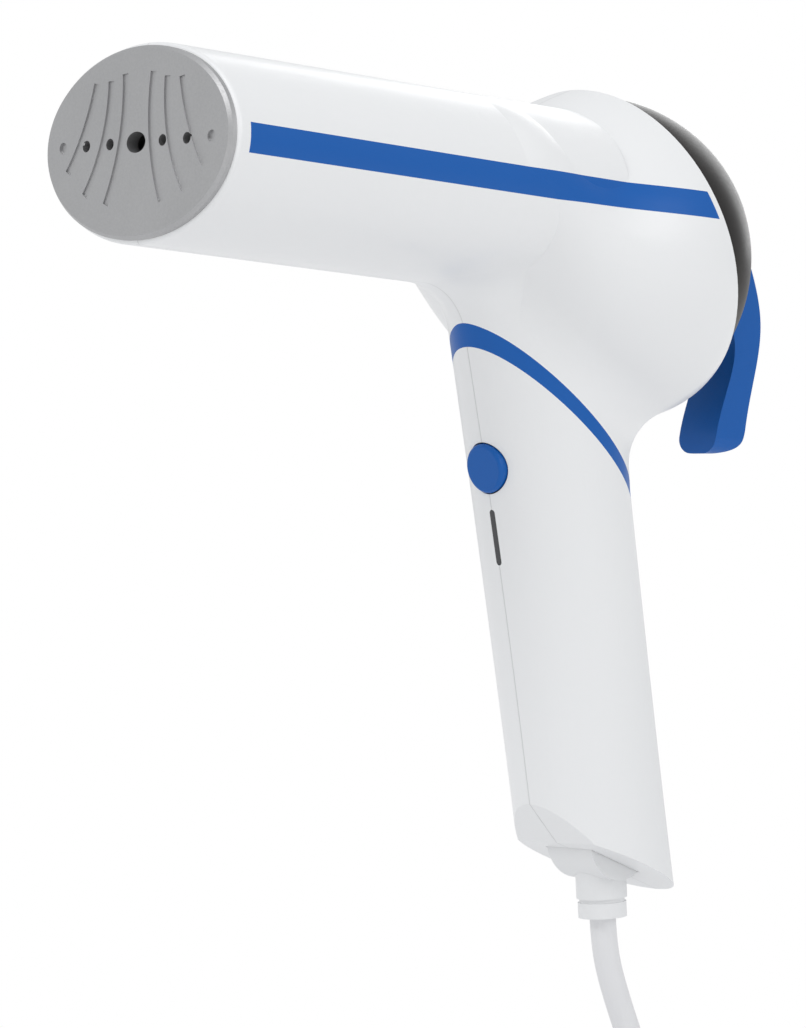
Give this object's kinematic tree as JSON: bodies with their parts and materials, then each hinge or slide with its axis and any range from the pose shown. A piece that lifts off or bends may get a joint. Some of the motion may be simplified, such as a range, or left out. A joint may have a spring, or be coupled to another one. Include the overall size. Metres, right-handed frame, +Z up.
{
  "type": "handheld garment steamer",
  "caption": "Pistol-shaped handheld garment steamer with oval steam plate, smoked rear water tank, hanging hook, push button and swivelling cord outlet.",
  "frame": {"origin": "middle of the grip, on the handle's own centre line", "axes": "+Z up, the nozzle points along -Y, X = 0 is the mid-plane"},
  "size_m": [0.106, 0.2504, 0.4844],
  "materials": {
    "white_shell": "satin white moulding",
    "blue_trim": "glossy blue moulding",
    "die_cast": "smooth die-cast face",
    "smoked_tank": "smoked clear plastic",
    "tank_plastic": "dark moulding",
    "dark_window": "tinted light window",
    "seal_rubber": "silicone",
    "hose_rubber": "translucent silicone hose",
    "inner_plastic": "heat-proof moulding",
    "steel": "plated steel",
    "shield_metal": "thin sheet",
    "coil_wrap": "taped copper winding",
    "board_green": "lacquered circuit board",
    "lamp": "red lens",
    "cord_rubber": "light grey sheath",
    "outlet_white": "white moulding",
    "brass_pins": "plated pins"
  },
  "bodies": {
    "main_body": {"steam_plate": "die_cast", "front_ring": "white_shell", "plate_gasket": "seal_rubber", "plate_studs": "steel", "steam_chamber": "die_cast", "heating_element": "steel", "heat_shield": "shield_metal", "chamber_frame": "inner_plastic", "chamber_screws": "steel", "thermostat": "steel", "thermal_fuse": "inner_plastic", "pressure_hose": "hose_rubber", "pump_body": "inner_plastic", "pump_coil": "coil_wrap", "pump_mounts": "seal_rubber", "suction_hose": "hose_rubber", "tank_dock": "inner_plastic", "tank_catches": "inner_plastic", "body_shell_right": "white_shell", "body_shell_left": "white_shell", "stripe_right": "blue_trim", "stripe_left": "blue_trim", "neck_trim": "blue_trim", "handle_shell_right": "white_shell", "handle_shell_left": "white_shell", "micro_switch": "tank_plastic", "control_board": "board_green", "board_screws": "steel", "indicator_led": "lamp", "indicator_window": "dark_window", "handle_screws": "steel", "body_screws": "steel", "terminal_block": "inner_plastic", "inner_lead": "cord_rubber", "cord_clamp": "inner_plastic", "clamp_screws": "steel", "heater_wires": "seal_rubber"},
    "button": {"power_button": "blue_trim", "switch_plunger": "inner_plastic"},
    "tank": {"tank_dome": "smoked_tank", "tank_base": "tank_plastic", "tank_seal": "seal_rubber", "tank_valve": "seal_rubber", "hanging_hook": "blue_trim"},
    "cap": {"filler_cap": "tank_plastic", "cap_seal": "seal_rubber"},
    "outlet": {"cord_outlet": "outlet_white", "strain_relief": "cord_rubber", "power_cord": "cord_rubber", "cord_coil": "cord_rubber", "cord_tail": "cord_rubber", "cord_tie": "tank_plastic", "plug_body": "cord_rubber", "plug_pins": "brass_pins"}
  },
  "joints": [
    {"name": "button_press", "type": "slide", "parent": "main_body", "child": "button", "axis": [0, 0.9658, 0.2592], "range_m": [0, 0.0015], "stiffness_N_per_m": 400},
    {"name": "tank_slide", "type": "slide", "parent": "main_body", "child": "tank", "axis": [0, 0.9157, 0.402], "range_m": [0, 0.045]},
    {"name": "filler_cap_turn", "type": "hinge", "parent": "tank", "child": "cap", "pos_m": [0, -0.00618, 0.11913], "axis": [0, 0.9157, 0.402], "range_deg": [0, 90]},
    {"name": "outlet_tilt", "type": "hinge", "parent": "main_body", "child": "outlet", "pos_m": [0, 0.0178, -0.0635], "axis": [1, 0, 0], "range_deg": [-35, 0]}
  ]
}
